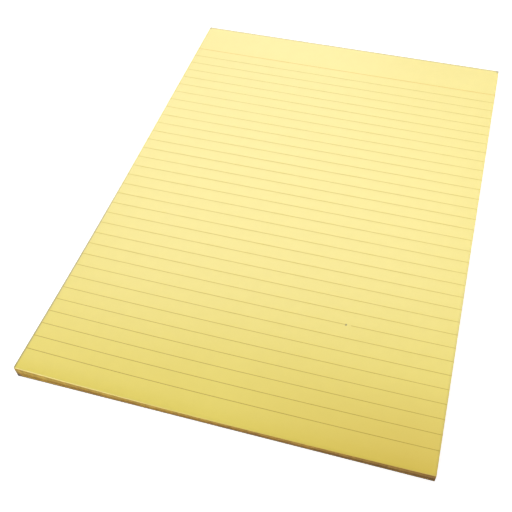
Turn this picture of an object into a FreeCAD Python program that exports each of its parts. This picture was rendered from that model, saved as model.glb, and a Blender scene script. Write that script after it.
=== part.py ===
import FreeCAD, Part
import Sketcher
import os

# A4 yellow ruled writing pad, lying on its board with the leaves facing up.
# The frame: origin on the table under the middle of the pad, +Y towards the
# gummed head, +X to the reader's right, +Z up. Lengths are millimetres.
#
# The fifty leaves are one solid, flat on the board. Towards the free foot of
# the pad they fan open at both corners, the left one more than the right, so
# there the top face bends from flat into a shallow trough.
# The lines are printed: each one is a thin film that lies on the top face and
# follows it, drawn thicker than real ink.

DRIVING_SIZES = (
    ("leaf_width", "210", "leaf, side to side"),
    ("leaf_length", "297", "leaf, gummed head to free foot"),
    ("leaf_count", "50", "leaves in the pad"),
    ("leaf_thickness", "0.075", "one leaf of writing paper"),
    ("board_thickness", "0.55", "grey board under the leaves"),
    ("gum_thickness", "0.4", "dried gum over the head"),
    ("curl_length", "160", "reach of the fanned leaves, from the foot"),
    ("left_lift", "3.7", "rise of the top leaf at its left foot corner"),
    ("right_lift", "1.7", "rise of the top leaf at its right foot corner"),
    ("heading_drop", "26", "heading line, below the head of the leaf"),
    ("foot_margin", "12.3", "lowest line, above the foot of the leaf"),
    ("feint", "8", "spacing that the lines are printed for"),
    ("line_width", "0.3", "one feint line"),
    ("heading_width", "0.35", "the heading line"),
    ("ink_height", "0.1", "thickness of a printed film"),
)

doc = FreeCAD.newDocument("WritingPad")
sizes = doc.addObject("Spreadsheet::Sheet", "Sizes")
for row, (alias, number, meaning) in enumerate(DRIVING_SIZES, start=1):
    sizes.set(f"A{row}", meaning)
    sizes.set(f"B{row}", number)
    sizes.setAlias(f"B{row}", alias)
doc.recompute()

# Heights, as expressions on the sheet. Each body stands at its own foot edge
# and underside, so y = 0 is the free foot and z = 0 the underside of a piece.
STACK_HEIGHT = "Sizes.leaf_count * Sizes.leaf_thickness"
INKED_HEIGHT = f"{STACK_HEIGHT} + Sizes.ink_height"
PAD_HEIGHT = f"Sizes.board_thickness + {STACK_HEIGHT}"
FOOT_Y = "-(Sizes.leaf_length + Sizes.gum_thickness) / 2"

# The lines fill the leaf evenly between the heading line and the lowest line
HEADING_Y = "Sizes.leaf_length - Sizes.heading_drop"
RULED_LENGTH = f"({HEADING_Y} - Sizes.foot_margin)"
LINE_COUNT = f"floor({RULED_LENGTH} / Sizes.feint)"
LINE_SPACING = f"{RULED_LENGTH} / {LINE_COUNT}"

# A line's film is cut out by a bar that is longer than the line and taller
# than the higher corner
BAR_LENGTH = "Sizes.leaf_width + 2 * Sizes.feint"
BAR_HEIGHT = f"{STACK_HEIGHT} + Sizes.ink_height + Sizes.left_lift + Sizes.right_lift"

# Along the curl a leaf bends evenly, so its corners rise with the square of
# the distance: halfway they stand at a quarter of their full lift
HALFWAY_SHARE = "1 / 4"
FULL_SHARE = "1"

# Sketcher's numbers for the points of an edge, and for its own axes, the first
# of which starts at the origin
START, END, CENTRE = range(1, 4)
X_AXIS, Y_AXIS = range(-1, -3, -1)


def new_body(name, height="0"):
    """An empty body with its foot edge at the foot of the pad, at that height."""
    body = doc.addObject("PartDesign::Body", name)
    body.Label = name
    body.setExpression("Placement.Base.y", FOOT_Y)
    body.setExpression("Placement.Base.z", height)
    return body


def new_sketch(body, name, role):
    """An empty sketch on the body's own origin plane of that role."""
    sketch = body.newObject("Sketcher::SketchObject", name)
    plane = next(f for f in body.Origin.OriginFeatures if f.Role == role)
    sketch.AttachmentSupport = (plane, [""])
    sketch.MapMode = "FlatFace"
    return sketch


def value(expression):
    """The number that an expression on the sheet gives now."""
    return float(sizes.evalExpression(expression))


def segment(sketch, start, end):
    """A straight edge of the sketch, from one point to the other."""
    return sketch.addGeometry(
        Part.LineSegment(FreeCAD.Vector(*start), FreeCAD.Vector(*end)))


def constrain(sketch, kind, *places):
    """A geometric constraint at each of the places."""
    for place in places:
        sketch.addConstraint(Sketcher.Constraint(kind, *place))


def dimension(sketch, kind, *place, size):
    """A dimension on the sketch, tied to an expression on the sheet."""
    index = sketch.addConstraint(Sketcher.Constraint(kind, *place, value(size)))
    sketch.setExpression(f"Constraints[{index}]", size)


def rectangle(sketch, width, bottom, top):
    """A rectangle symmetric about the sketch's y axis, from bottom to top."""
    half, low, high = value(width) / 2, value(bottom), value(top)
    base = segment(sketch, (-half, low), (half, low))
    right = segment(sketch, (half, low), (half, high))
    crown = segment(sketch, (half, high), (-half, high))
    left = segment(sketch, (-half, high), (-half, low))
    constrain(
        sketch,
        "Coincident",
        (base, END, right, START),
        (right, END, crown, START),
        (crown, END, left, START),
        (left, END, base, START),
    )
    constrain(sketch, "Vertical", (right,), (left,))
    constrain(sketch, "Horizontal", (crown,))
    constrain(sketch, "Symmetric", (base, START, base, END, Y_AXIS))
    dimension(sketch, "DistanceX", base, START, base, END, size=width)
    dimension(sketch, "DistanceY", X_AXIS, START, base, START, size=bottom)
    dimension(sketch, "DistanceY", X_AXIS, START, crown, START, size=top)


def add_slab(body, height, bottom, top, width="Sizes.leaf_width"):
    """A flat slab of the body, that high, from bottom to top along the pad."""
    sketch = new_sketch(body, body.Name + "_outline", "XY_Plane")
    rectangle(sketch, width, bottom, top)
    slab = body.newObject("PartDesign::Pad", body.Name + "_slab")
    slab.Profile = sketch
    slab.setExpression("Length", height)
    return slab


def half_crown(sketch, corner, middle, lift):
    """Top edge of one half of a section: level, or an arc that leaves the
    middle level and rises by the lift to the corner."""
    ends = sorted((corner, middle))
    if lift is None:
        edge = segment(sketch, *ends)
        constrain(sketch, "Horizontal", (edge,))
        return edge
    radius = f"((Sizes.leaf_width / 2) ^ 2 + ({lift}) ^ 2) / (2 * ({lift}))"
    centre = FreeCAD.Vector(middle[0], middle[1] + value(radius), 0)
    circle = Part.Circle(centre, FreeCAD.Vector(0, 0, 1), value(radius))
    edge = sketch.addGeometry(
        Part.ArcOfCircle(circle, *(circle.parameter(FreeCAD.Vector(*end)) for end in ends)))
    constrain(sketch, "PointOnObject", (edge, CENTRE, Y_AXIS))
    dimension(sketch, "Radius", edge, size=radius)
    return edge


def cross_section(stack, name, distance, height, share=None):
    """Upright outline of the leaves, that far from the foot: as high as the
    stack in the middle, with its corners raised by a share of their lift."""
    sketch = new_sketch(stack, f"{stack.Name}_{name}", "XZ_Plane")
    sketch.setExpression("AttachmentOffset.Base.z", f"-({distance})")
    left_lift = f"Sizes.left_lift * {share}" if share else None
    right_lift = f"Sizes.right_lift * {share}" if share else None
    half, high = value("Sizes.leaf_width") / 2, value(height)
    left_high = high + value(left_lift) if share else high
    right_high = high + value(right_lift) if share else high

    base = segment(sketch, (-half, 0), (half, 0))
    left = segment(sketch, (-half, 0), (-half, left_high))
    right = segment(sketch, (half, 0), (half, right_high))
    left_crown = half_crown(sketch, (-half, left_high), (0, high), left_lift)
    right_crown = half_crown(sketch, (half, right_high), (0, high), right_lift)
    constrain(
        sketch,
        "Coincident",
        (base, START, left, START),
        (base, END, right, START),
        (left, END, left_crown, START),
        (left_crown, END, right_crown, START),
        (right, END, right_crown, END),
    )
    constrain(sketch, "Vertical", (left,), (right,))
    constrain(sketch, "Symmetric", (base, START, base, END, Y_AXIS))
    constrain(
        sketch, "PointOnObject", (base, START, X_AXIS), (left_crown, END, Y_AXIS))
    dimension(sketch, "DistanceX", base, START, base, END, size="Sizes.leaf_width")
    dimension(sketch, "DistanceY", X_AXIS, START, left_crown, END, size=height)
    return sketch


def fanned_stack(name, height):
    """The stack of leaves: flat at the head, fanned up at the foot corners."""
    stack = new_body(name, "Sizes.board_thickness")
    add_slab(stack, height, bottom="Sizes.curl_length", top="Sizes.leaf_length")
    flat = cross_section(stack, "flat", "Sizes.curl_length", height)
    halfway = cross_section(
        stack, "halfway", "Sizes.curl_length / 2", height, HALFWAY_SHARE)
    foot = cross_section(stack, "foot", "0", height, FULL_SHARE)
    fan = stack.newObject("PartDesign::AdditiveLoft", name + "_fan")
    fan.Profile = flat
    fan.Sections = [halfway, foot]
    return stack


def backing_board():
    """Grey board, cut with the leaves to the same size."""
    board = new_body("backing_board")
    add_slab(board, "Sizes.board_thickness", bottom="0", top="Sizes.leaf_length")
    return board


def gum_binding():
    """Film of dried gum that holds the leaves and the board at the head."""
    gum = new_body("gum_binding")
    add_slab(
        gum,
        PAD_HEIGHT,
        bottom="Sizes.leaf_length",
        top="Sizes.leaf_length + Sizes.gum_thickness",
    )
    return gum


def line_bar(name, middle, thickness):
    """An upright bar that stands right through the leaves along one line."""
    bar = new_body(name, "Sizes.board_thickness")
    add_slab(
        bar,
        BAR_HEIGHT,
        bottom=f"{middle} - {thickness} / 2",
        top=f"{middle} + {thickness} / 2",
        width=BAR_LENGTH,
    )
    return bar


def repeat_up_the_page(bar):
    """A row of the bar, from its own place at the foot towards the head."""
    lowest = bar.Tip
    pattern = bar.newObject("PartDesign::LinearPattern", bar.Name + "_pattern")
    pattern.Originals = [lowest]
    pattern.Direction = (lowest.Profile[0], ["V_Axis"])
    pattern.Mode = "Spacing"
    pattern.setExpression("Offset", LINE_SPACING)
    pattern.setExpression("Occurrences", LINE_COUNT)
    bar.Tip = pattern


def printed(name, film, bar):
    """The stretch of the film that a bar or a row of bars takes out of it."""
    lines = doc.addObject("Part::Common", name)
    lines.Label = name
    lines.Base = film
    lines.Tool = bar
    return lines


board = backing_board()
leaves = fanned_stack("sheet_block", STACK_HEIGHT)
gum = gum_binding()

inked_stack = fanned_stack("inked_stack", INKED_HEIGHT)
film = doc.addObject("Part::Cut", "film")
film.Base = inked_stack
film.Tool = leaves

heading_bar = line_bar("heading_bar", HEADING_Y, "Sizes.heading_width")
heading = printed("heading_line", film, heading_bar)
line_bars = line_bar("line_bars", "Sizes.foot_margin", "Sizes.line_width")
repeat_up_the_page(line_bars)
feint_lines = printed("ruled_lines", film, line_bars)
doc.recompute()

for item in doc.Objects:
    if {"Invalid", "Error"} & set(item.State):
        raise RuntimeError(f"{item.Label} failed: {item.State}")

nodes = (board, leaves, gum, heading, feint_lines)
for node in nodes:
    if node.Shape.isNull() or not node.Shape.isValid():
        raise RuntimeError(f"{node.Label} has no valid shape")

os.makedirs("parts", exist_ok=True)
for node in nodes:
    node.Shape.exportStep(f"parts/{node.Label}.step")
    box = node.Shape.optimalBoundingBox()
    print(
        f"{node.Label}: {len(node.Shape.Solids)} solids,"
        f" {node.Shape.Volume:.1f} mm3,"
        f" x {box.XMin:.2f} to {box.XMax:.2f},"
        f" y {box.YMin:.2f} to {box.YMax:.2f},"
        f" z {box.ZMin:.2f} to {box.ZMax:.2f}"
    )
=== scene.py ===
import math
import random

import bmesh
import bpy
from mathutils import Matrix, Vector, noise


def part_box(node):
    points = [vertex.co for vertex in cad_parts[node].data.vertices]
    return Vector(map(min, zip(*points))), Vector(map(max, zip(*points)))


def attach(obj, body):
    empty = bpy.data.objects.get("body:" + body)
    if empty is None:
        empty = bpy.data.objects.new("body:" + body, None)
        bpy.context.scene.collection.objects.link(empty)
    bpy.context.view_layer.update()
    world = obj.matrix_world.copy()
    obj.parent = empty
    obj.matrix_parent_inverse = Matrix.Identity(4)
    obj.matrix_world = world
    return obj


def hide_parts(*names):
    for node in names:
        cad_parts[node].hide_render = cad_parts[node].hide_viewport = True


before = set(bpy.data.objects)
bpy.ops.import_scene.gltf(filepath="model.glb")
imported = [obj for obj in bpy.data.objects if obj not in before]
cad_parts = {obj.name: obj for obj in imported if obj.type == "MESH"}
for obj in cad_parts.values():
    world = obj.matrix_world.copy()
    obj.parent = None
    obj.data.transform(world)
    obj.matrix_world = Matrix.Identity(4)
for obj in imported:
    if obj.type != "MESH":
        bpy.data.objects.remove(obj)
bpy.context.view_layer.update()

MM = 0.001
random.seed(8)

# Places that the frame gives
BOARD_LOW, BOARD_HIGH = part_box("backing_board")
LEAF_LOW, LEAF_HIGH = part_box("sheet_block")
GUM_LOW, GUM_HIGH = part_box("gum_binding")
HEADING_LOW, HEADING_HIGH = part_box("heading_line")
LINES_LOW, LINES_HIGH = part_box("ruled_lines")
FOOT_Y = LEAF_LOW.y
HEAD_Y = LEAF_HIGH.y
LEAF_LENGTH = HEAD_Y - FOOT_Y
HALF_WIDTH = LEAF_HIGH.x
STACK_TOP = GUM_HIGH.z

# The leaves and how they lie
LEAF_COUNT = 50
LEAF_PITCH = (STACK_TOP - BOARD_HIGH.z) / LEAF_COUNT
LEAF_THICKNESS = 0.88 * LEAF_PITCH
LEAF_INSET = 0.05 * MM
LEAST_GAP = 0.3
CURL_LENGTH = 160 * MM
LEFT_LIFT = LEAF_HIGH.z - STACK_TOP
RIGHT_LIFT = 1.7 * MM
SIDE_SKEW = 0.03 * MM
SIDE_DRIFT = 0.04 * MM
FOOT_STAGGER = 0.3 * MM
BURR_LENGTH = 1.0 * MM
BURR_DROP = 0.25 * MM
LEAF_COLUMNS = 36
BURR_ROWS = 3
CURL_ROWS = 24
FLAT_ROWS = 4

# The printing on the top leaf
LINE_COUNT = 32
LINE_WIDTH = 0.3 * MM
INK_THICKNESS = 0.02 * MM
INK_CLEARANCE = 0.01 * MM
INK_FADE = 5.0
INK_ROUGHNESS = 0.6
SPECK_LINE = 7
SPECK_X = 48.3 * MM
SPECK_SIZE = 0.7 * MM
SKIP_END = 50.9 * MM

# The painted shade along the top leaf's rim: how far in it reaches, how deep it is, and
# from where to where along the pad it grows
SIDE_SHADE_REACH = 1.2 * MM
LEFT_SHADE_DEPTH = 0.85
RIGHT_SHADE_DEPTH = 0.2
LEAST_SIDE_SHADE = 0.15
SIDE_SHADE_FROM_Y = 10 * MM
SIDE_SHADE_MOST_Y = -50 * MM
HEAD_SHADE_REACH = 1.5 * MM
HEAD_SHADE_DEPTH = 0.45

# Each dark spot's place, reach and depth; the two at the left foot corner are painted shade
SHADE_AND_DARK_SPOTS = (
    ((-HALF_WIDTH, FOOT_Y, BOARD_HIGH.z), 3.2 * MM, 0.95),
    ((-HALF_WIDTH, FOOT_Y, (BOARD_HIGH.z + LEAF_HIGH.z) / 2), 2.0 * MM, 0.5),
    # The head's two corners are darker.
    ((-HALF_WIDTH, HEAD_Y, STACK_TOP), 2.7 * MM, 0.75),
    ((HALF_WIDTH, HEAD_Y, STACK_TOP), 3.0 * MM, 0.8),
)

# The paper's painted shade: from where to where it deepens towards the foot, and towards the right
FOOT_SHADE_FROM_Y = FOOT_Y + 50 * MM
FOOT_SHADE_MOST_Y = FOOT_Y + 5 * MM
FOOT_SHADE_MOST_X = 90 * MM

# The tone of the cut edges: the painted light of the pad's left and painted shade of its right
# that add to it, how it rises up the stack out of painted shade and swings in bands from leaf
# to leaf, and what the top leaf's edge has
LEFT_PAINTED_LIGHT = 0.26
RIGHT_PAINTED_SHADE = -0.2
LOWEST_TONE = 0.2
RISE_FROM_PAINTED_SHADE = 0.55
BAND_DEPTH = 0.5
BAND_STEP = 0.13
TONE_SCATTER = 0.1
TOP_LEAF_TONE = 0.75

# The board and the gum, and how many ridges of gum a metre has along and across the head
BOARD_EDGE_ROUND = 0.07 * MM
GUM_THINNEST = 0.12 * MM
GUM_COLUMNS = 210
GUM_ROWS = 12
GUM_RIM = 0.8 * MM
GUM_HOLLOW = 0.45
RIDGES_ALONG = 25
RIDGES_ACROSS = 1100
GUM_END_DARKENING = 2.5 * MM


def linear(hex_colour):
    """sRGB hex to the linear colour that a shader takes."""
    channels = (int(hex_colour[i:i + 2], 16) / 255 for i in (0, 2, 4))
    rgb = [c / 12.92 if c <= 0.04045 else ((c + 0.055) / 1.055) ** 2.4 for c in channels]
    return (*rgb, 1.0)


# Materials

PAPER_ROUGHNESS = 0.32
PAPER_GLOSS = 1.0
PAPER_IOR = 1.58
MIX_FACTOR, MIX_A, MIX_B = 0, 6, 7
MIX_RESULT = 2


def add_node(owner, kind, inputs, **settings):
    """Adds a node to a material or the world. Each input, by its name or number, is a value
    or another node's output."""
    tree = owner.node_tree
    node = tree.nodes.new(kind)
    for name, value in settings.items():
        setattr(node, name, value)
    for name, value in inputs.items():
        if isinstance(value, bpy.types.NodeSocket):
            tree.links.new(value, node.inputs[name])
        else:
            node.inputs[name].default_value = value
    return node


def new_material(name, **values):
    """A material with its shader's plain values set, and the place that its pattern follows."""
    material = bpy.data.materials.new(name)
    material.use_nodes = True
    shader = material.node_tree.nodes["Principled BSDF"]
    for socket, value in values.items():
        shader.inputs[socket.replace("_", " ")].default_value = value
    place = add_node(material, "ShaderNodeTexCoord", {}).outputs["Object"]
    return material, shader, place


def finish_surface(material, shader, colour, height, relief):
    """Links the colour to the shader, and a height that the relief, in metres, is worth."""
    bump = add_node(
        material, "ShaderNodeBump", {"Height": height, "Distance": relief, "Strength": 1.0})
    material.node_tree.links.new(colour, shader.inputs["Base Color"])
    material.node_tree.links.new(bump.outputs["Normal"], shader.inputs["Normal"])
    return material


def painted_rim_shade(material, place):
    """How much painted shade darkens the top leaf's rim: along both sides, most on the left
    towards the foot, and a little along the head."""
    axes = add_node(material, "ShaderNodeSeparateXYZ", {"Vector": place})
    from_middle = add_node(
        material, "ShaderNodeMath", {0: axes.outputs["X"]}, operation="ABSOLUTE")
    rim = add_node(
        material, "ShaderNodeMapRange",
        {"Value": from_middle.outputs["Value"], "From Min": HALF_WIDTH - SIDE_SHADE_REACH,
         "From Max": HALF_WIDTH})
    more_left = add_node(
        material, "ShaderNodeMapRange",
        {"Value": axes.outputs["X"], "From Min": HALF_WIDTH, "From Max": -HALF_WIDTH,
         "To Min": RIGHT_SHADE_DEPTH, "To Max": LEFT_SHADE_DEPTH})
    more_at_foot = add_node(
        material, "ShaderNodeMapRange",
        {"Value": axes.outputs["Y"], "From Min": SIDE_SHADE_FROM_Y, "From Max": SIDE_SHADE_MOST_Y,
         "To Min": LEAST_SIDE_SHADE})
    side_shade_depth = add_node(
        material, "ShaderNodeMath",
        {0: more_left.outputs["Result"], 1: more_at_foot.outputs["Result"]},
        operation="MULTIPLY")
    sides = add_node(
        material, "ShaderNodeMath", {0: rim.outputs["Result"], 1: side_shade_depth.outputs["Value"]},
        operation="MULTIPLY")
    head = add_node(
        material, "ShaderNodeMapRange",
        {"Value": axes.outputs["Y"], "From Min": HEAD_Y - HEAD_SHADE_REACH, "From Max": HEAD_Y,
         "To Max": HEAD_SHADE_DEPTH})
    both = add_node(
        material, "ShaderNodeMath",
        {0: sides.outputs["Value"], 1: head.outputs["Result"]}, operation="MAXIMUM")
    return both.outputs["Value"]


def painted_shade_and_dark_spots(material, place, colour, amount):
    """A colour darkened by an amount of painted shade, with painted shade at the corner that the
    pad stands on, and darker at the ends of the gum."""
    for spot, reach, most in SHADE_AND_DARK_SPOTS:
        away = add_node(
            material, "ShaderNodeVectorMath", {0: place, 1: spot}, operation="DISTANCE")
        near = add_node(
            material, "ShaderNodeMapRange",
            {"Value": away.outputs["Value"], "From Min": reach, "From Max": reach / 3,
             "To Max": most})
        larger = add_node(
            material, "ShaderNodeMath", {0: amount, 1: near.outputs["Result"]},
            operation="MAXIMUM")
        amount = larger.outputs["Value"]
    # Mixes in a purple-grey: painted shade at the rim and foot corner, darker spots at the head
    # corners.
    mixed = add_node(
        material, "ShaderNodeMix",
        {MIX_FACTOR: amount, MIX_A: colour, MIX_B: linear("5E5458")}, data_type="RGBA")
    return mixed.outputs[MIX_RESULT]


def painted_foot_shade(material, place):
    """How much painted shade darkens the paper: most at the right of the foot."""
    axes = add_node(material, "ShaderNodeSeparateXYZ", {"Vector": place})
    towards_foot = add_node(
        material, "ShaderNodeMapRange",
        {"Value": axes.outputs["Y"], "From Min": FOOT_SHADE_FROM_Y, "From Max": FOOT_SHADE_MOST_Y})
    towards_right = add_node(
        material, "ShaderNodeMapRange",
        {"Value": axes.outputs["X"], "From Min": 0.0, "From Max": FOOT_SHADE_MOST_X})
    shade_amount = add_node(
        material, "ShaderNodeMath",
        {0: towards_foot.outputs["Result"], 1: towards_right.outputs["Result"]},
        operation="MULTIPLY")
    return shade_amount.outputs["Value"]


def wove_paper():
    """Yellow uncoated writing paper, made on a wire and calendered: an even colour with
    faint clouds where the fibres lie thicker, a fine tooth, and a soft glare towards a light."""
    material, shader, place = new_material(
        "yellow_wove_paper", Roughness=PAPER_ROUGHNESS, IOR=PAPER_IOR,
        Specular_IOR_Level=PAPER_GLOSS)
    clouds = add_node(
        material, "ShaderNodeTexNoise", {"Vector": place, "Scale": 1 / (6 * MM), "Detail": 3.0})
    fibres = add_node(
        material, "ShaderNodeTexNoise", {"Vector": place, "Scale": 1 / (0.6 * MM), "Detail": 3.0})
    cloud_tint = add_node(
        material, "ShaderNodeMix",
        {MIX_FACTOR: clouds.outputs["Fac"], MIX_A: linear("F2DE62"), MIX_B: linear("FAE66A")},
        data_type="RGBA")
    fibre_tint = add_node(
        material, "ShaderNodeMix",
        {MIX_FACTOR: fibres.outputs["Fac"], MIX_A: linear("F3DF62"), MIX_B: linear("FAE66A")},
        data_type="RGBA")
    tint = add_node(
        material, "ShaderNodeMix",
        {MIX_FACTOR: 0.5, MIX_A: cloud_tint.outputs[MIX_RESULT],
         MIX_B: fibre_tint.outputs[MIX_RESULT]},
        data_type="RGBA")
    # Painted shade: the paper darkens to a deeper yellow towards the foot, most on the right.
    foot_shaded = add_node(
        material, "ShaderNodeMix",
        {MIX_FACTOR: painted_foot_shade(material, place), MIX_A: tint.outputs[MIX_RESULT],
         MIX_B: linear("EACF53")},
        data_type="RGBA")
    speck_y = line_middle(SPECK_LINE)
    speck_place = (SPECK_X, speck_y, STACK_TOP + curl_rise(SPECK_X, speck_y))
    away = add_node(
        material, "ShaderNodeVectorMath", {0: place, 1: speck_place}, operation="DISTANCE")
    speck = add_node(
        material, "ShaderNodeMapRange",
        {"Value": away.outputs["Value"], "From Min": SPECK_SIZE, "From Max": SPECK_SIZE / 2})
    marked = add_node(
        material, "ShaderNodeMix",
        {MIX_FACTOR: speck.outputs["Result"], MIX_A: foot_shaded.outputs[MIX_RESULT],
         MIX_B: linear("8A7A3C")},
        data_type="RGBA")
    # Painted shade along the rim and at the foot's left corner, and darker head corners.
    colour = painted_shade_and_dark_spots(
        material, place, marked.outputs[MIX_RESULT], painted_rim_shade(material, place))
    return finish_surface(material, shader, colour, fibres.outputs["Fac"], 0.012 * MM)


def cut_edges():
    """The leaves' guillotined edges and the margins that show between them: end grain that
    light sinks into, so a deeper gold, with painted light on the left and painted shade on
    the right and low in the stack. Each leaf has its own tone, and the knife left upright
    streaks."""
    material, shader, place = new_material("guillotined_paper_edges_painted_shade", Roughness=0.7, IOR=1.5)
    shade_and_tone = add_node(material, "ShaderNodeAttribute", {}, attribute_name="leaf_shade_and_tone")
    stretched = add_node(
        material, "ShaderNodeMapping", {"Vector": place, "Scale": (1.0, 1.0, 0.15)})
    streaks = add_node(
        material, "ShaderNodeTexNoise",
        {"Vector": stretched.outputs["Vector"], "Scale": 1 / (1.2 * MM), "Detail": 3.0})
    blotches = add_node(
        material, "ShaderNodeTexNoise", {"Vector": place, "Scale": 1 / (9 * MM), "Detail": 2.0})
    axes = add_node(material, "ShaderNodeSeparateXYZ", {"Vector": place})
    # Painted light on the pad's left and painted shade on its right.
    painted_side_light_and_shade = add_node(
        material, "ShaderNodeMapRange",
        {"Value": axes.outputs["X"], "From Min": -HALF_WIDTH, "From Max": HALF_WIDTH,
         "To Min": LEFT_PAINTED_LIGHT, "To Max": RIGHT_PAINTED_SHADE})
    blotches_and_side_shade = add_node(
        material, "ShaderNodeMath",
        {0: blotches.outputs["Fac"], 1: 0.5, 2: painted_side_light_and_shade.outputs["Result"]},
        operation="MULTIPLY_ADD")
    level = add_node(
        material, "ShaderNodeMath",
        {0: blotches_and_side_shade.outputs["Value"], 1: shade_and_tone.outputs["Fac"]}, operation="ADD")
    # The ramp's dark browns paint the shade low in the stack, between the leaves and on the right.
    bands = add_node(material, "ShaderNodeValToRGB", {"Fac": level.outputs["Value"]})
    bands.color_ramp.elements[0].color = linear("75581F")
    bands.color_ramp.elements[1].color = linear("F2D05A")
    bands.color_ramp.elements.new(0.35).color = linear("AE8034")
    bands.color_ramp.elements.new(0.65).color = linear("D6A83C")
    streaked = add_node(
        material, "ShaderNodeMix",
        {MIX_FACTOR: streaks.outputs["Fac"], MIX_A: linear("B8B2A4"), MIX_B: linear("FFFFFF")},
        data_type="RGBA")
    tint = add_node(
        material, "ShaderNodeMix",
        {MIX_FACTOR: 1.0, MIX_A: bands.outputs["Color"], MIX_B: streaked.outputs[MIX_RESULT]},
        data_type="RGBA", blend_type="MULTIPLY")
    # Painted shade at the foot's left corner, and darker head corners; no rim shade here.
    colour = painted_shade_and_dark_spots(material, place, tint.outputs[MIX_RESULT], 0.0)
    return finish_surface(material, shader, colour, streaks.outputs["Fac"], 0.03 * MM)


def chipboard(name, dark, pale):
    """Grey board pressed from pulped waste paper: cloudy, with paler shreds of the old paper
    in it and a matt, slightly fuzzy face. Its cut edges show the darker pulp inside, and
    their colours also hold painted contact shadow."""
    material, shader, place = new_material(name, Roughness=0.85, IOR=1.45)
    clouds = add_node(
        material, "ShaderNodeTexNoise", {"Vector": place, "Scale": 1 / (9 * MM), "Detail": 5.0})
    shreds = add_node(
        material, "ShaderNodeTexVoronoi", {"Vector": place, "Scale": 1 / (1.4 * MM)})
    fuzz = add_node(
        material, "ShaderNodeTexNoise", {"Vector": place, "Scale": 1 / (0.5 * MM), "Detail": 4.0})
    cloud_tint = add_node(
        material, "ShaderNodeMix",
        {MIX_FACTOR: clouds.outputs["Fac"], MIX_A: linear(dark), MIX_B: linear(pale)},
        data_type="RGBA")
    shred_pick = add_node(
        material, "ShaderNodeMapRange",
        {"Value": shreds.outputs["Color"], "From Min": 0.86, "From Max": 1.0, "To Max": 0.55})
    shredded = add_node(
        material, "ShaderNodeMix",
        {MIX_FACTOR: shred_pick.outputs["Result"], MIX_A: cloud_tint.outputs[MIX_RESULT],
         MIX_B: linear("C9C2B6")},
        data_type="RGBA")
    fuzz_tint = add_node(
        material, "ShaderNodeMix",
        {MIX_FACTOR: fuzz.outputs["Fac"], MIX_A: linear("BDB9B6"), MIX_B: linear("FFFFFF")},
        data_type="RGBA")
    tint = add_node(
        material, "ShaderNodeMix",
        {MIX_FACTOR: 1.0, MIX_A: shredded.outputs[MIX_RESULT],
         MIX_B: fuzz_tint.outputs[MIX_RESULT]},
        data_type="RGBA", blend_type="MULTIPLY")
    return finish_surface(
        material, shader, tint.outputs[MIX_RESULT], fuzz.outputs["Fac"], 0.06 * MM)


def padding_gum():
    """Padding gum, brushed on along the head and dried: a milky film with a dull rubbery
    shine, streaked by the bristles and darker at its two ends."""
    material, shader, place = new_material("brushed_padding_gum", Roughness=0.38, IOR=1.47)
    drawn_out = add_node(
        material, "ShaderNodeMapping", {"Vector": place, "Scale": (0.06, 1.0, 1.0)})
    bristles = add_node(
        material, "ShaderNodeTexNoise",
        {"Vector": drawn_out.outputs["Vector"], "Scale": 1 / (0.5 * MM), "Detail": 3.0})
    film_tint = add_node(
        material, "ShaderNodeMix",
        {MIX_FACTOR: bristles.outputs["Fac"], MIX_A: linear("9C9070"), MIX_B: linear("C6BC9A")},
        data_type="RGBA")
    axes = add_node(material, "ShaderNodeSeparateXYZ", {"Vector": place})
    from_middle = add_node(
        material, "ShaderNodeMath", {0: axes.outputs["X"]}, operation="ABSOLUTE")
    # Darker towards both ends of the gum.
    darker_ends = add_node(
        material, "ShaderNodeMapRange",
        {"Value": from_middle.outputs["Value"], "From Min": HALF_WIDTH - GUM_END_DARKENING,
         "From Max": HALF_WIDTH, "To Max": 0.7})
    tint = add_node(
        material, "ShaderNodeMix",
        {MIX_FACTOR: darker_ends.outputs["Result"], MIX_A: film_tint.outputs[MIX_RESULT],
         MIX_B: linear("6F6238")},
        data_type="RGBA")
    return finish_surface(
        material, shader, tint.outputs[MIX_RESULT], bristles.outputs["Fac"], 0.08 * MM)


def line_ink(name, thin, full):
    """Thin ruling ink, laid on by a disc ruler: duller than the smooth paper that it soaks
    into, fullest at the foot, where the ruling began, and paler where it ran thin."""
    material, shader, place = new_material(name, Roughness=INK_ROUGHNESS, IOR=1.5)
    flow = add_node(
        material, "ShaderNodeTexNoise", {"Vector": place, "Scale": 1 / (4 * MM), "Detail": 4.0})
    axes = add_node(material, "ShaderNodeSeparateXYZ", {"Vector": place})
    to_head = add_node(
        material, "ShaderNodeMapRange",
        {"Value": axes.outputs["Y"], "From Min": FOOT_Y, "From Max": HEAD_Y, "To Min": 1.0,
         "To Max": 0.0})
    fullness = add_node(
        material, "ShaderNodeMath", {0: to_head.outputs["Result"], 1: INK_FADE}, operation="POWER")
    uneven = add_node(
        material, "ShaderNodeMath", {0: flow.outputs["Fac"], 1: 0.3, 2: fullness.outputs["Value"]},
        operation="MULTIPLY_ADD")
    tint = add_node(
        material, "ShaderNodeMix",
        {MIX_FACTOR: uneven.outputs["Value"], MIX_A: linear(thin), MIX_B: linear(full)},
        data_type="RGBA")
    return finish_surface(
        material, shader, tint.outputs[MIX_RESULT], flow.outputs["Fac"], 0.004 * MM)


# Pieces

def finish_piece(name, bm, materials, node):
    """Makes a bmesh a piece of the pad that stands for one of its nodes."""
    bmesh.ops.recalc_face_normals(bm, faces=bm.faces)
    for edge in bm.edges:
        edge.smooth = all(face.smooth for face in edge.link_faces)
    mesh = bpy.data.meshes.new(name)
    bm.to_mesh(mesh)
    bm.free()
    for material in materials:
        mesh.materials.append(material)
    piece = bpy.data.objects.new(name, mesh)
    bpy.context.scene.collection.objects.link(piece)
    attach(piece, "root")
    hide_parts(node)
    return piece


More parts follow.
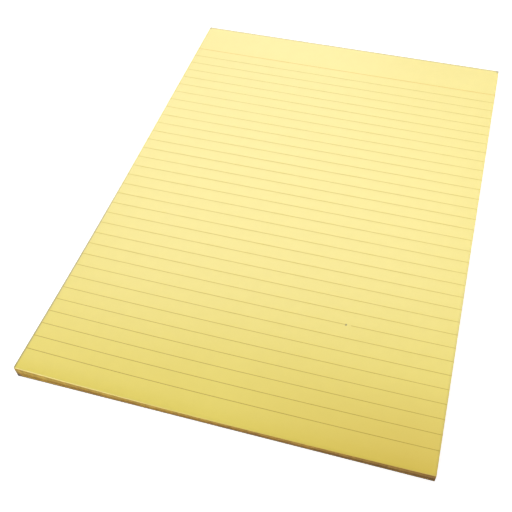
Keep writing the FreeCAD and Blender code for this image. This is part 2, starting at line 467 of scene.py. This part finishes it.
def add_sheet(bm, left, right, near, far, columns, rows, thickness):
    """A flat closed sheet, its underside at z 0, smooth on its two faces. Returns its
    lower and its upper vertices."""
    middle = Vector(((left + right) / 2, (near + far) / 2, 0))
    size = Matrix.Diagonal((right - left, far - near, 1, 1))
    lower = bmesh.ops.create_grid(
        bm, x_segments=columns, y_segments=rows, size=0.5,
        matrix=Matrix.Translation(middle) @ size)["verts"]
    under = list({face for vert in lower for face in vert.link_faces})
    raised = bmesh.ops.extrude_face_region(bm, geom=under, use_keep_orig=True)["geom"]
    upper = [item for item in raised if isinstance(item, bmesh.types.BMVert)]
    bmesh.ops.translate(bm, vec=(0, 0, thickness), verts=upper)
    for face in under + [item for item in raised if isinstance(item, bmesh.types.BMFace)]:
        face.smooth = True
    return lower, upper


def curl_rise(x, y):
    """How far the top leaf rises above flat at a place: each foot corner curls up."""
    reach = max(0.0, 1 - (y - FOOT_Y) / CURL_LENGTH)
    lift = LEFT_LIFT if x < 0 else RIGHT_LIFT
    return lift * (x / HALF_WIDTH) ** 2 * reach ** 2


def burr_drop(y):
    """How far the knife pressed the top leaf's foot edge down at a place."""
    near_edge = max(0.0, 1 - (y - FOOT_Y) / BURR_LENGTH)
    return BURR_DROP * near_edge ** 2


def leaf_places():
    """For each leaf from the board up: its share of the curl, and how far its foot end
    stands back and leans sideways. Some leaves cling together, so the shares are uneven."""
    gaps = [random.expovariate(1.0) + LEAST_GAP for _ in range(LEAF_COUNT)]
    share = 0
    places = []
    for index, gap in enumerate(gaps):
        share += gap / sum(gaps)
        drift = noise.noise(Vector((0.31 * index, 4.7, 0)))
        back = FOOT_STAGGER * (0.5 * share + 0.5 * abs(drift))
        lean = SIDE_SKEW * (2 * index / (LEAF_COUNT - 1) - 1) + SIDE_DRIFT * drift
        places.append((share, back, lean))
    return places


def lay(verts, index, place):
    """Bends and shifts flat vertices as the leaf of that number lies in the pad."""
    share, back, lean = place
    for vert in verts:
        along = (HEAD_Y - vert.co.y) / LEAF_LENGTH
        rise = share * curl_rise(vert.co.x, vert.co.y)
        drop = burr_drop(vert.co.y) * index / (LEAF_COUNT - 1)
        level = BOARD_HIGH.z + index * LEAF_PITCH
        vert.co += Vector((lean * along, back * along, level + rise - drop))


def row_place(row):
    """How far from the foot a leaf's row of vertices lies: close together in the knife's
    burr, evenly through the curl, and wide apart where the leaf is flat."""
    if row <= BURR_ROWS:
        return BURR_LENGTH * row / BURR_ROWS
    row -= BURR_ROWS
    if row <= CURL_ROWS:
        return BURR_LENGTH + (CURL_LENGTH - BURR_LENGTH) * row / CURL_ROWS
    row -= CURL_ROWS
    return CURL_LENGTH + (LEAF_LENGTH - CURL_LENGTH) * row / FLAT_ROWS


def add_leaf(bm, index, place):
    """One leaf. The top leaf's two faces are of the first material, and all that shows of
    the others, their edges and margins, is of the second, whose dark tones paint shade in the
    margins between the leaves. All leaves have the same rows and columns, so none pokes through
    the next in the curl."""
    shade_and_tone_layer = bm.faces.layers.float["leaf_shade_and_tone"]
    known = set(bm.faces)
    rows = BURR_ROWS + CURL_ROWS + FLAT_ROWS
    lower, upper = add_sheet(
        bm, LEAF_INSET - HALF_WIDTH, HALF_WIDTH - LEAF_INSET, 0, rows,
        LEAF_COLUMNS, rows, LEAF_THICKNESS)
    for vert in lower + upper:
        vert.co.y = FOOT_Y + row_place(round(vert.co.y))
    height = index / (LEAF_COUNT - 1)
    swing = noise.noise(Vector((BAND_STEP * index, 1.5, 0)))
    # Painted shade: the leaves darken down the stack, with bands that swing at random from leaf to
    # leaf.
    shade_and_band = LOWEST_TONE + RISE_FROM_PAINTED_SHADE * height ** 2 + BAND_DEPTH * swing
    shade_and_tone = min(1.0, max(0.0, shade_and_band + random.uniform(-TONE_SCATTER, TONE_SCATTER)))
    for face in set(bm.faces) - known:
        face[shade_and_tone_layer] = TOP_LEAF_TONE if index == LEAF_COUNT - 1 else shade_and_tone
        # The lower leaves' faces take the edge material: painted shade between the leaves.
        face.material_index = 0 if face.smooth and index == LEAF_COUNT - 1 else 1
    lay(lower + upper, index, place)


def leaves(name, numbers):
    """The leaves of those numbers, as one piece."""
    bm = bmesh.new()
    bm.faces.layers.float.new("leaf_shade_and_tone")
    for index in numbers:
        add_leaf(bm, index, PLACES[index])
    finish_piece(name, bm, (PAPER, EDGES), "sheet_block")


def line_middle(number):
    """Where the middle of a ruled line lies, counted from the foot."""
    first = LINES_LOW.y + LINE_WIDTH / 2
    last = LINES_HIGH.y - LINE_WIDTH / 2
    return first + (last - first) * number / (LINE_COUNT - 1)


def add_printed_line(bm, left, right, middle, width):
    """A stretch of a printed line, lying on the top leaf and bent with it."""
    columns = max(2, round((right - left) / (3 * MM)))
    lower, upper = add_sheet(
        bm, left, right, middle - width / 2, middle + width / 2, columns, 1, INK_THICKNESS)
    lay(lower + upper, LEAF_COUNT - 1, PLACES[-1])
    bmesh.ops.translate(
        bm, vec=(0, 0, LEAF_THICKNESS + INK_CLEARANCE), verts=lower + upper)


def printed_lines():
    """The feint lines from edge to edge, one broken beside the speck, and the heading line."""
    left = LEAF_INSET - HALF_WIDTH
    right = -left
    feint = bmesh.new()
    for number in range(LINE_COUNT):
        stretches = [(left, right)]
        if number == SPECK_LINE:
            stretches = [(left, SPECK_X), (SKIP_END, right)]
        for start, end in stretches:
            add_printed_line(feint, start, end, line_middle(number), LINE_WIDTH)
    finish_piece("feint_lines", feint, (FEINT_INK,), "ruled_lines")
    heading = bmesh.new()
    add_printed_line(
        heading, left, right, (HEADING_LOW.y + HEADING_HIGH.y) / 2,
        HEADING_HIGH.y - HEADING_LOW.y)
    finish_piece("heading_rule", heading, (HEADING_INK,), "heading_line")


def board():
    """The stiff back: one sheet of board with its cut edges worn a little round."""
    bm = bmesh.new()
    size = BOARD_HIGH - BOARD_LOW
    bmesh.ops.create_cube(
        bm, size=1.0,
        matrix=Matrix.Translation((BOARD_LOW + BOARD_HIGH) / 2)
        @ Matrix.Diagonal((size.x, size.y, size.z, 1)))
    bmesh.ops.bevel(
        bm, geom=bm.edges[:], offset=BOARD_EDGE_ROUND, segments=2, profile=0.5,
        affect="EDGES", material=-1)
    bm.normal_update()
    for face in bm.faces:
        face.material_index = 0 if abs(face.normal.z) > 0.9 else 1
    finish_piece("chipboard_back", bm, (BOARD_FACE, BOARD_EDGE_WITH_SHADOW), "backing_board")


def gum_film():
    """The film of gum over the head edge, thick in brushed ridges and thin at its rim."""
    bm = bmesh.new()
    height = GUM_HIGH.z - GUM_LOW.z
    inner, outer = add_sheet(
        bm, GUM_LOW.x, GUM_HIGH.x, 0, height, GUM_COLUMNS, GUM_ROWS, GUM_THINNEST)
    spare = GUM_HIGH.y - GUM_LOW.y - GUM_THINNEST
    for vert in outer:
        to_rim = min(vert.co.y, height - vert.co.y, HALF_WIDTH - abs(vert.co.x))
        fullness = min(1.0, to_rim / GUM_RIM) ** 0.5
        spot = Vector((RIDGES_ALONG * vert.co.x, RIDGES_ACROSS * vert.co.y, 0))
        ridge = 0.5 + 0.5 * noise.noise(spot)
        vert.co.z += spare * fullness * (GUM_HOLLOW + (1 - GUM_HOLLOW) * ridge)
    for vert in bm.verts:
        vert.co = Vector((vert.co.x, GUM_LOW.y + vert.co.z, GUM_LOW.z + vert.co.y))
    finish_piece("gum_film", bm, (padding_gum(),), "gum_binding")


PAPER = wove_paper()
EDGES = cut_edges()
BOARD_FACE = chipboard("pressed_waste_chipboard", "6E6459", "938778")
# The cut edge's near-black olive is partly the board's own colour, partly painted contact shadow
# at the foot.
BOARD_EDGE_WITH_SHADOW = chipboard("cut_chipboard_edge_painted_shadow", "2E2914", "4A4128")
FEINT_INK = line_ink("grey_ruling_ink", "E8D252", "C4A63A")
HEADING_INK = line_ink("orange_ruling_ink", "F4CE46", "EEC03E")
PLACES = leaf_places()
leaves("lower_leaves", range(LEAF_COUNT // 2))
leaves("upper_leaves", range(LEAF_COUNT // 2, LEAF_COUNT - 1))
leaves("top_leaf", [LEAF_COUNT - 1])
printed_lines()
board()
gum_film()


# Floor, lights and camera

FLOOR_HALF = 3.0
FLOOR_CLEARANCE = 0.03 * MM
CAMERA_AIM = Vector((6.864 * MM, -43.885 * MM, 4.3 * MM))
CAMERA_DISTANCE = 406.457 * MM
CAMERA_AZIMUTH = math.radians(-16.628)
CAMERA_DOWN = math.radians(52.037)
CAMERA_ROLL = math.radians(-1.540)
CAMERA_LENS = 51.339
CAMERA_SHIFT = -0.06095
CAMERA_NEAR = 10 * MM
FLOOR_GLOW = 0.6
ROOM_AT_FLOOR = 0.52
ROOM_FADES_FROM = 0.25
ROOM_DARK_FROM = 0.5


def floor():
    """A plain white studio floor, which glows a little so that shadows stay faint."""
    material = bpy.data.materials.new("white_studio_floor")
    material.use_nodes = True
    shader = material.node_tree.nodes["Principled BSDF"]
    shader.inputs["Roughness"].default_value = 0.9
    shader.inputs["Base Color"].default_value = linear("EDEDED")
    shader.inputs["Specular IOR Level"].default_value = 0.0
    shader.inputs["Emission Color"].default_value = linear("FFFFFF")
    shader.inputs["Emission Strength"].default_value = FLOOR_GLOW
    bm = bmesh.new()
    bmesh.ops.create_grid(
        bm, x_segments=1, y_segments=1, size=FLOOR_HALF,
        matrix=Matrix.Translation((0, 0, -FLOOR_CLEARANCE)))
    mesh = bpy.data.meshes.new("floor")
    bm.to_mesh(mesh)
    bm.free()
    mesh.materials.append(material)
    piece = bpy.data.objects.new("floor", mesh)
    bpy.context.scene.collection.objects.link(piece)


def softbox(name, place, size, power):
    """A softbox that faces the middle of the pad."""
    light = bpy.data.lights.new(name, "AREA")
    light.shape = "RECTANGLE"
    light.size, light.size_y = size
    light.energy = power
    lamp = bpy.data.objects.new(name, light)
    lamp.location = place
    lamp.rotation_euler = (-Vector(place)).to_track_quat("-Z", "Y").to_euler()
    bpy.context.scene.collection.objects.link(lamp)


def studio():
    """Light from beyond the head, filled in from the left and the right, and a room that is
    bright near the floor and dark overhead."""
    softbox("head_softbox", (-0.2, 0.8, 0.9), (1.1, 0.6), 6.35)
    softbox("low_left_head_softbox", (-0.5, 1.0, 0.5), (0.9, 0.5), 2.1)
    softbox("low_head_softbox", (0, 0.6, 0.2), (0.6, 0.2), 0.4)
    softbox("right_softbox", (0.35, -0.3, 0.5), (0.4, 0.4), 0.9)
    softbox("low_right_softbox", (0.35, 0.1, 0.3), (0.3, 0.3), 0.4)
    softbox("left_softbox", (-0.4, -0.4, 0.5), (0.4, 0.4), 2.1)
    world = bpy.data.worlds.new("studio_room")
    world.use_nodes = True
    background = world.node_tree.nodes["Background"]
    background.inputs["Color"].default_value = linear("FFFFFF")
    direction = add_node(world, "ShaderNodeTexCoord", {}).outputs["Generated"]
    axes = add_node(world, "ShaderNodeSeparateXYZ", {"Vector": direction})
    brightness = add_node(
        world, "ShaderNodeMapRange",
        {"Value": axes.outputs["Z"], "From Min": ROOM_FADES_FROM, "From Max": ROOM_DARK_FROM,
         "To Min": ROOM_AT_FLOOR, "To Max": 0.0})
    world.node_tree.links.new(brightness.outputs["Result"], background.inputs["Strength"])
    bpy.context.scene.world = world
    bpy.context.scene.view_settings.view_transform = "Standard"


def camera():
    """The photograph's viewpoint."""
    turn = (
        Matrix.Rotation(-CAMERA_AZIMUTH, 3, "Z")
        @ Matrix.Rotation(math.pi / 2 - CAMERA_DOWN, 3, "X")
        @ Matrix.Rotation(CAMERA_ROLL, 3, "Z"))
    data = bpy.data.cameras.new("camera")
    data.lens = CAMERA_LENS
    data.shift_x = CAMERA_SHIFT
    data.clip_start = CAMERA_NEAR
    holder = bpy.data.objects.new("camera", data)
    holder.matrix_world = (
        Matrix.Translation(CAMERA_AIM + turn @ Vector((0, 0, CAMERA_DISTANCE)))
        @ turn.to_4x4())
    bpy.context.scene.collection.objects.link(holder)
    bpy.context.scene.camera = holder


floor()
studio()
camera()
